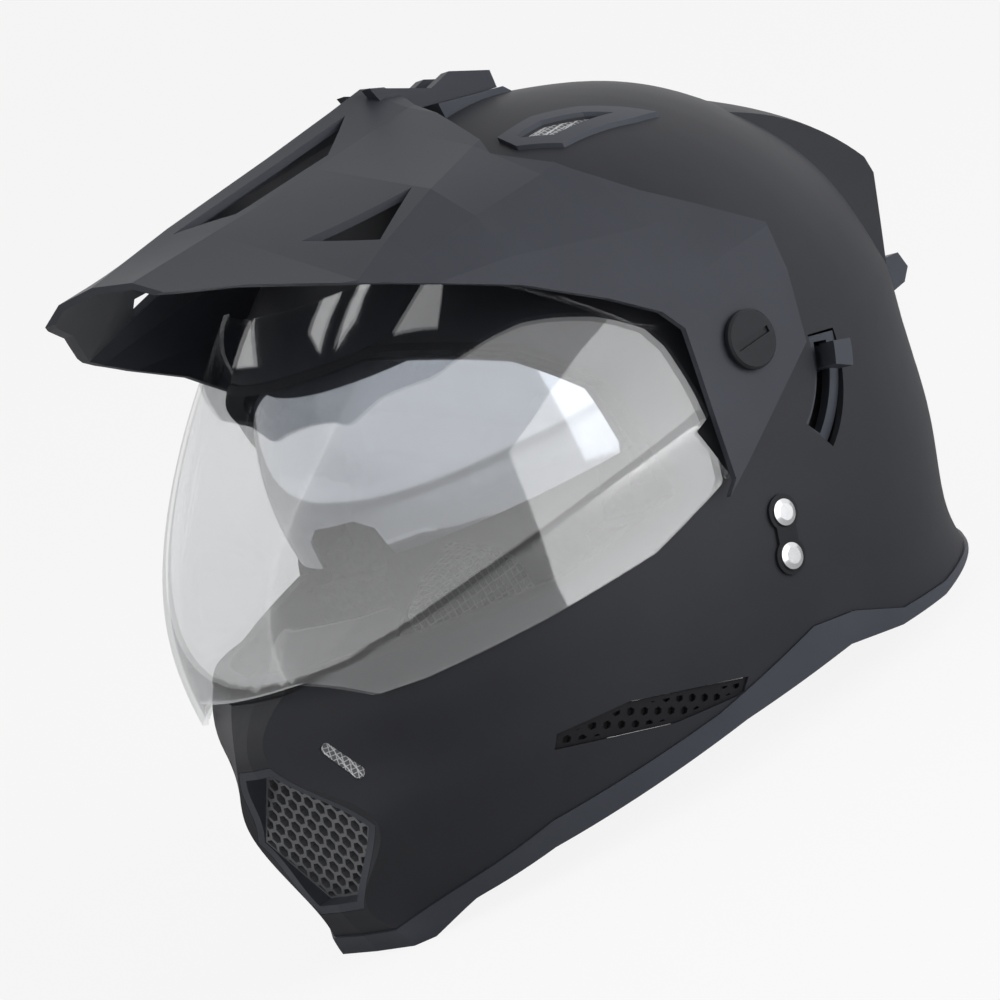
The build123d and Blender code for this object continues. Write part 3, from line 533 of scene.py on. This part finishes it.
@dataclass(frozen=True)
class Webbing:
    """Woven strap webbing with ribs along it and a herringbone cross thread."""

    name: str
    colour: Colour
    rib: float = 1.1 * MM
    cross_pitch: float = 0.8
    cross_lean: float = 2.4
    cross_share: float = 0.4
    low_share: float = 0.5
    high_share: float = 1.7
    roughness: float = 0.7
    weave_roughness: float = 0.15
    depth: float = 0.2 * MM
    strength: float = 0.8
    shine: float = 0.3
    sheen: float = 0.2

    def make(self) -> Any:
        """Build the material.

        Returns:
            The material.
        """
        material, board = board_for(self.name)
        ribs = (board.along("Y") * (math.tau / self.rib)).sine() * 0.5 + 0.5
        run = board.along("X") + board.along("Z")
        across = run * (math.tau / (self.cross_pitch * self.rib))
        cross = (across + ribs * self.cross_lean).sine() * 0.5 + 0.5
        weave = ribs * (1.0 - self.cross_share) + cross * self.cross_share
        low = tuple(value * self.low_share for value in self.colour)
        high = tuple(value * self.high_share for value in self.colour)
        shader = board.add("ShaderNodeBsdfPrincipled", {}, {
            "Base Color": board.blend(weave, low, high),
            "Roughness": self.roughness + weave * self.weave_roughness,
            "Specular IOR Level": self.shine, "Sheen Weight": self.sheen,
            "Normal": board.bump(weave, self.depth, self.strength),
        })
        board.surface(shader)
        return material


class Finishes:
    """Every finish of the helmet, made once."""

    def __init__(self) -> None:
        """Make the materials."""
        self.shell = MouldedPlastic("shell_plastic", (0.024, 0.025, 0.030), roughness=0.5).make()
        self.trim = MouldedPlastic("trim_plastic", (0.050, 0.055, 0.068), roughness=0.42).make()
        self.peak = MouldedPlastic("peak_plastic", (0.037, 0.040, 0.050), roughness=0.46).make()
        self.grille = MouldedPlastic("grille_plastic", (0.13, 0.132, 0.14), roughness=0.36, shine=0.6).make()
        self.mesh = HexMeshCloth(
            "silver_mesh", (0.80, 0.81, 0.83), (0.12, 0.12, 0.13),
            cell=1.7 * MM, roughness=0.35, metallic=0.4,
        ).make()
        self.screw = MouldedPlastic("screw_plastic", (0.014, 0.015, 0.018), roughness=0.4).make()
        self.dark = MouldedPlastic("dark_plastic", (0.010, 0.010, 0.012), roughness=0.5).make()
        self.metal = BrightMetal("bright_metal", (0.80, 0.81, 0.83)).make()
        self.mirror = SilverMirror("silver_mirror", (0.46, 0.49, 0.54)).make()
        self.clear = ClearSheet("clear_shield", (0.985, 0.987, 0.99)).make()
        self.rubber = Rubber("black_rubber", (0.012, 0.012, 0.013)).make()
        self.foam = BeadFoam("bead_foam", (0.03, 0.03, 0.033)).make()
        self.cloth = HexMeshCloth("mesh_cloth", (0.34, 0.345, 0.36), (0.10, 0.102, 0.11)).make()
        self.webbing = Webbing("strap_webbing", (0.02, 0.02, 0.022)).make()


def dress(names: Iterable[str], material: Any) -> None:
    """Give CAD nodes a material.

    Args:
        names: the nodes' names.
        material: the material.
    """
    for name in names:
        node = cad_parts[name]
        for slot in node.material_slots:
            slot.material = material
        LOG.info("dressed %s in %s", name, material.name)


def piece_from(name: str, mesh: Any, body: str, material: Any, smooth: bool = True) -> Any:
    """Put a new mesh in the scene.

    Args:
        name: the piece's name.
        mesh: its mesh.
        body: the body it rides on.
        material: its material.
        smooth: whether its faces are shaded smoothly.

    Returns:
        The object.
    """
    piece = bpy.data.objects.new(name, mesh)
    bpy.context.scene.collection.objects.link(piece)
    mesh.materials.clear()
    mesh.materials.append(material)
    for face in mesh.polygons:
        face.use_smooth = smooth
    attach(piece, body)
    LOG.info("built %s on %s with %d faces", name, body, len(mesh.polygons))
    return piece


@dataclass
class Padding:
    """The lining's cushions, each swollen a little from the solid that holds its place."""

    finishes: Finishes
    voxel: float = 4.5 * MM
    pressure: float = 4.0
    frames: int = 20
    cap: float = 1.2 * MM
    stiffness: float = 15.0
    inset: float = 0.6 * MM
    nodes: tuple[str, ...] = ("left_cheek_pad", "right_cheek_pad", "crown_pad", "neck_roll")

    def build(self) -> None:
        """Make every cushion."""
        for node in self.nodes:
            self.cushion(node)

    def cushion(self, node: str) -> None:
        """Make one cushion from its solid.

        Args:
            node: the CAD node that it replaces.
        """
        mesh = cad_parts[node].data.copy()
        cushion = piece_from(f"{node}_cushion", mesh, "helmet", self.finishes.cloth)
        self._apply(cushion, "REMESH", mode="VOXEL", voxel_size=self.voxel)
        rest = [vertex.co.copy() for vertex in cushion.data.vertices]
        normals = [vertex.normal.copy() for vertex in cushion.data.vertices]
        for vertex, normal in zip(cushion.data.vertices, normals):
            vertex.co -= normal * self.inset
        self._swell(cushion)
        self._hold_near(cushion, rest)
        self._apply(cushion, "SMOOTH", factor=0.5, iterations=2)
        self._apply(cushion, "SUBSURF", levels=1, render_levels=1)
        for face in cushion.data.polygons:
            face.use_smooth = True
        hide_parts(node)

    def _swell(self, cushion: Any) -> None:
        """Blow the cushion up a little.

        Args:
            cushion: the cushion.
        """
        modifier = cushion.modifiers.new("swell", "CLOTH")
        settings = modifier.settings
        settings.use_pressure = True
        settings.uniform_pressure_force = self.pressure
        settings.effector_weights.gravity = 0.0
        settings.tension_stiffness = self.stiffness
        settings.compression_stiffness = self.stiffness
        modifier.point_cache.frame_end = self.frames
        for step in range(1, self.frames + 1):
            bpy.context.scene.frame_set(step)
        self._apply_named(cushion, "swell")
        bpy.context.scene.frame_set(1)

    def _hold_near(self, cushion: Any, rest: list[Vector]) -> None:
        """Cap how far each point has moved.

        Args:
            cushion: the cushion.
            rest: the points before the swelling.
        """
        for vertex, start in zip(cushion.data.vertices, rest):
            move = vertex.co - start
            if move.length > self.cap:
                vertex.co = start + move.normalized() * self.cap

    def _apply(self, piece: Any, kind: str, **settings: Any) -> None:
        """Add a modifier and apply it.

        Args:
            piece: the object.
            kind: the modifier's type.
            **settings: its properties.
        """
        modifier = piece.modifiers.new("step", kind)
        for name, value in settings.items():
            setattr(modifier, name, value)
        self._apply_named(piece, modifier.name)

    @staticmethod
    def _apply_named(piece: Any, name: str) -> None:
        """Apply one modifier by taking the evaluated mesh.

        Args:
            piece: the object.
            name: the modifier's name.
        """
        bpy.context.view_layer.update()
        graph = bpy.context.evaluated_depsgraph_get()
        mesh = bpy.data.meshes.new_from_object(piece.evaluated_get(graph))
        piece.modifiers.remove(piece.modifiers[name])
        old = piece.data
        piece.data = mesh
        bpy.data.meshes.remove(old)


@dataclass
class VentShadeSheets:
    """A near-black sheet behind the side vents and the honeycomb, so that no light shows through them:
    painted shade standing in for the shaded inside of the vents.
    """

    finishes: Finishes
    side_inward: float = 2.2 * MM
    chin_inward: float = 3.4 * MM
    drawn_in: float = 0.998

    def build(self) -> None:
        """Make the sheets of painted shade."""
        for side in Side:
            self.filter(f"{side.word}_side_vent", Vector((-side.value * self.side_inward, 0.0, 0.0)))
        self.filter("chin_vent_grille", Vector((0.0, self.chin_inward, 0.0)))

    def filter(self, node: str, inward: Vector) -> None:
        """Make one sheet of painted shade as the vent's hull, set behind it.

        Args:
            node: the vent's node.
            inward: how far and which way the sheet lies behind it.
        """
        bm = bmesh.new()
        bm.from_mesh(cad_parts[node].data)
        hull = bmesh.ops.convex_hull(bm, input=bm.verts)
        spare = [item for item in hull["geom_interior"] if isinstance(item, bmesh.types.BMVert)]
        bmesh.ops.delete(bm, geom=spare, context="VERTS")
        middle = sum((vertex.co for vertex in bm.verts), Vector()) / len(bm.verts)
        for vertex in bm.verts:
            vertex.co = middle + (vertex.co - middle) * self.drawn_in + inward
        mesh = bpy.data.meshes.new("filter")
        bm.to_mesh(mesh)
        bm.free()
        # painted shade: the sheet wears the black rubber finish behind the vent
        piece_from(f"{node}_filter", mesh, "helmet", self.finishes.rubber, smooth=False)


@dataclass
class RivetShadeRings:
    """A dark ring round the seat of each bright rivet head of the strap anchors: painted shade where the head
    meets the part beneath it.
    """

    finishes: Finishes
    wire: float = 0.55 * MM
    weld: float = 0.01 * MM
    segments: int = 40
    sides: int = 8
    head_depth: float = 2.2 * MM
    spread: float = 0.6
    rise: float = 0.9

    def build(self) -> None:
        """Make a ring of painted shade for each rivet."""
        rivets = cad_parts["strap_rivets"].data
        bm = bmesh.new()
        bm.from_mesh(rivets)
        bmesh.ops.remove_doubles(bm, verts=bm.verts, dist=self.weld)
        for number, island in enumerate(self._islands(bm)):
            self._ring(number, [vertex.co.copy() for vertex in island])
        bm.free()

    @staticmethod
    def _islands(bm: Any) -> list[list[Any]]:
        """The mesh's loose shells.

        Args:
            bm: the mesh.

        Returns:
            The points of each shell.
        """
        left, islands = set(bm.verts), []
        while left:
            stack, island = [left.pop()], []
            while stack:
                vertex = stack.pop()
                island.append(vertex)
                for edge in vertex.link_edges:
                    other = edge.other_vert(vertex)
                    if other in left:
                        left.remove(other)
                        stack.append(other)
            islands.append(island)
        return islands

    def _ring(self, number: int, points: list[Vector]) -> None:
        """Make one ring of painted shade round a rivet's head.

        Args:
            number: the ring's number.
            points: the rivet's points.
        """
        side = 1.0 if points[0].x > 0.0 else -1.0
        outer = max(side * point.x for point in points)
        head = [point for point in points if side * point.x > outer - self.head_depth]
        middle = sum(head, Vector()) / len(head)
        radius = max((point - middle).yz.length for point in head)
        seat = min(side * point.x for point in head)
        bm = bmesh.new()
        rows = []
        for step in range(self.segments):
            turn = math.tau * step / self.segments
            row = []
            for corner in range(self.sides):
                bend = math.tau * corner / self.sides
                reach = radius + self.wire * self.spread * math.cos(bend)
                row.append(bm.verts.new((
                    side * (seat + self.wire * self.rise * math.sin(bend)),
                    middle.y + reach * math.cos(turn), middle.z + reach * math.sin(turn),
                )))
            rows.append(row)
        for row, after in zip(rows, rows[1:] + rows[:1]):
            for corner in range(self.sides):
                nearby = (corner + 1) % self.sides
                bm.faces.new((row[corner], after[corner], after[nearby], row[nearby]))
        bmesh.ops.recalc_face_normals(bm, faces=bm.faces)
        mesh = bpy.data.meshes.new("rivet_rim")
        bm.to_mesh(mesh)
        bm.free()
        # painted shade: the ring wears the dark plastic finish round the rivet's seat
        piece_from(f"rivet_rim_{number}", mesh, "helmet", self.finishes.dark)


@dataclass
class Studio:
    """Camera, floor, lamps and world."""

    target: Point = (0.0, 1.409 * MM, 130 * MM)
    back: Point = (0.796, -0.578, 0.178)
    right: Point = (0.588, 0.671, -0.452)
    distance: float = 2.05
    far: float = 20.0
    lens: float = 200.8
    sensor: float = 36.0
    pixels_per_metre: float = 2720.0
    target_pixel: tuple[float, float] = (507.4, 427.3)
    picture_centre: float = 500.0
    world_light: float = 0.24
    floor_size: float = 6.0
    floor_parts: int = 8
    floor_drop: float = 0.2 * MM
    floor_cloud: float = 0.4
    floor_dark: Colour = (0.90, 0.90, 0.90)
    floor_light: Colour = (0.94, 0.94, 0.94)
    floor_glow: float = 0.88
    panel_place: Point = (0.36, 0.012, 0.158)
    panel_width: float = 0.356
    panel_height: float = 0.30
    panel_power: float = 0.42

    def build(self) -> None:
        """Set up the whole studio."""
        self._camera()
        self._floor()
        self._world()
        self._lamps()
        bpy.context.scene.view_settings.view_transform = "Standard"

    def _axes(self) -> tuple[Vector, Vector, Vector]:
        """The camera's right, up and back directions.

        Returns:
            The three unit vectors.
        """
        back = Vector(self.back).normalized()
        right = Vector(self.right)
        right = (right - back * right.dot(back)).normalized()
        return right, back.cross(right), back

    def _camera(self) -> None:
        """Place the camera so that the target falls on its pixel."""
        right, up, back = self._axes()
        place = Vector(self.target) + back * self.distance
        across = (self.target_pixel[0] - self.picture_centre) / self.pixels_per_metre
        above = (self.picture_centre - self.target_pixel[1]) / self.pixels_per_metre
        aim = Vector(self.target) - right * across - up * above
        look = (place - aim).normalized()
        side = (right - look * right.dot(look)).normalized()
        data = bpy.data.cameras.new("camera")
        data.lens = self.lens
        data.sensor_width = self.sensor
        data.clip_end = self.far
        camera = bpy.data.objects.new("camera", data)
        bpy.context.scene.collection.objects.link(camera)
        turn = Matrix((side, look.cross(side), look)).transposed()
        camera.matrix_world = Matrix.Translation(place) @ turn.to_4x4()
        bpy.context.scene.camera = camera

    def _floor(self) -> None:
        """A wide pale floor that keeps the helmet's shadow."""
        bm = bmesh.new()
        parts = self.floor_parts
        bmesh.ops.create_grid(bm, x_segments=parts, y_segments=parts, size=self.floor_size)
        mesh = bpy.data.meshes.new("floor")
        bm.to_mesh(mesh)
        bm.free()
        floor = bpy.data.objects.new("floor", mesh)
        bpy.context.scene.collection.objects.link(floor)
        floor.location.z = -self.floor_drop
        material, board = board_for("studio_floor")
        path = board.add("ShaderNodeLightPath", {}, {}, "Is Camera Ray")
        clouds = board.noise(self.floor_cloud, 2.0)
        paint = board.add("ShaderNodeBsdfPrincipled", {}, {
            "Base Color": board.blend(clouds, self.floor_dark, self.floor_light),
            "Roughness": 0.9, "Specular IOR Level": 0.1,
        })
        glow = board.add("ShaderNodeEmission", {}, {"Color": (1.0, 1.0, 1.0, 1.0), "Strength": 1.0})
        board.surface(board.add("ShaderNodeMixShader", {}, {0: path * self.floor_glow, 1: paint, 2: glow}))
        mesh.materials.append(material)

    def _world(self) -> None:
        """White where the camera and reflections look, softer as a light."""
        world = bpy.data.worlds.new("studio")
        bpy.context.scene.world = world
        world.use_nodes = True
        board = Board(world.node_tree)
        seen = board.add("ShaderNodeLightPath", {}, {}, "Is Camera Ray")
        mirrored = board.add("ShaderNodeLightPath", {}, {}, "Is Glossy Ray")
        through = board.add("ShaderNodeLightPath", {}, {}, "Is Transmission Ray")
        full = (seen + mirrored + through).clamped()
        strength = self.world_light + full * (1.0 - self.world_light)
        back = board.add("ShaderNodeBackground", {}, {"Color": (1.0, 1.0, 1.0, 1.0), "Strength": strength})
        board.surface(back, "ShaderNodeOutputWorld")

    def _lamps(self) -> None:
        """Soft boxes placed about the camera's view."""
        self._soft_box("front", place=(-1.1, 0.1, 1.1), size=1.4, power=5.0, mirrored=False)
        self._soft_box("side", place=(1.15, 0.6, 0.75), size=1.3, power=25.0, mirrored=False)
        self._soft_box("top", place=(0.2, 1.6, -0.2), size=1.4, power=0.8)
        self._shield_panel()

    def _shield_panel(self) -> None:
        """A white panel at the wearer's left that only reflections show: the shield's bright band."""
        data = bpy.data.lights.new("shield_panel", "AREA")
        data.shape = "RECTANGLE"
        data.size = self.panel_width
        data.size_y = self.panel_height
        data.energy = self.panel_power
        lamp = bpy.data.objects.new("shield_panel", data)
        bpy.context.scene.collection.objects.link(lamp)
        lamp.location = self.panel_place
        aim = Vector(self.panel_place) - Vector((0.0, 0.0, self.panel_place[2]))
        lamp.rotation_euler = aim.to_track_quat("Z", "Y").to_euler()
        lamp.visible_camera = False
        lamp.visible_diffuse = False
        lamp.visible_transmission = False

    def _soft_box(
        self, name: str, place: Point, size: float, power: float, mirrored: bool = True,
    ) -> None:
        """One square lamp aimed at the helmet.

        Args:
            name: its name.
            place: right, up and towards the camera from the target, in metres.
            size: its side in metres.
            power: its power in watts.
            mirrored: whether it shows in reflections.
        """
        right, up, back = self._axes()
        offset = right * place[0] + up * place[1] + back * place[2]
        data = bpy.data.lights.new(name, "AREA")
        data.size = size
        data.energy = power
        lamp = bpy.data.objects.new(name, data)
        bpy.context.scene.collection.objects.link(lamp)
        lamp.location = Vector(self.target) + offset
        lamp.visible_glossy = mirrored
        lamp.rotation_euler = offset.to_track_quat("Z", "Y").to_euler()


def main() -> None:
    """Build the helmet's looks in order."""
    logging.basicConfig(level=logging.INFO, format="%(name)s: %(message)s")
    finishes = Finishes()
    Studio().build()
    dress(["outer_shell"], finishes.shell)
    dress(["bottom_trim", "peak_top_mount", "chin_vent_frame"], finishes.trim)
    dress(["lever_track", "sun_visor_lever"], finishes.trim)
    dress(["peak"], finishes.peak)
    dress(["eyeport_seal"], finishes.rubber)
    dress(["impact_liner", "chin_liner"], finishes.foam)
    dress(["breath_guard"], finishes.dark)
    dress(["face_shield"], finishes.clear)
    dress(["sun_visor"], finishes.mirror)
    dress(["chin_vent_grille"], finishes.grille)
    dress(["strap_rivets", "d_ring_front", "d_ring_back"], finishes.metal)
    for side in Side:
        word = side.word
        dress([f"{word}_shield_base", f"{word}_visor_mount", f"{word}_side_vent"], finishes.dark)
        dress([f"{word}_top_vent", f"{word}_rear_vent"], finishes.trim)
        dress([f"{word}_chin_mesh", f"{word}_top_mesh"], finishes.mesh)
        dress([f"{word}_peak_screw", f"{word}_anchor_plate"], finishes.screw)
        dress([f"{word}_strap"], finishes.webbing)
    Padding(finishes).build()
    # near-black sheets of painted shade behind the vents
    VentShadeSheets(finishes).build()
    # dark rings of painted shade round the rivet seats
    RivetShadeRings(finishes).build()


if __name__ == "__main__":
    main()
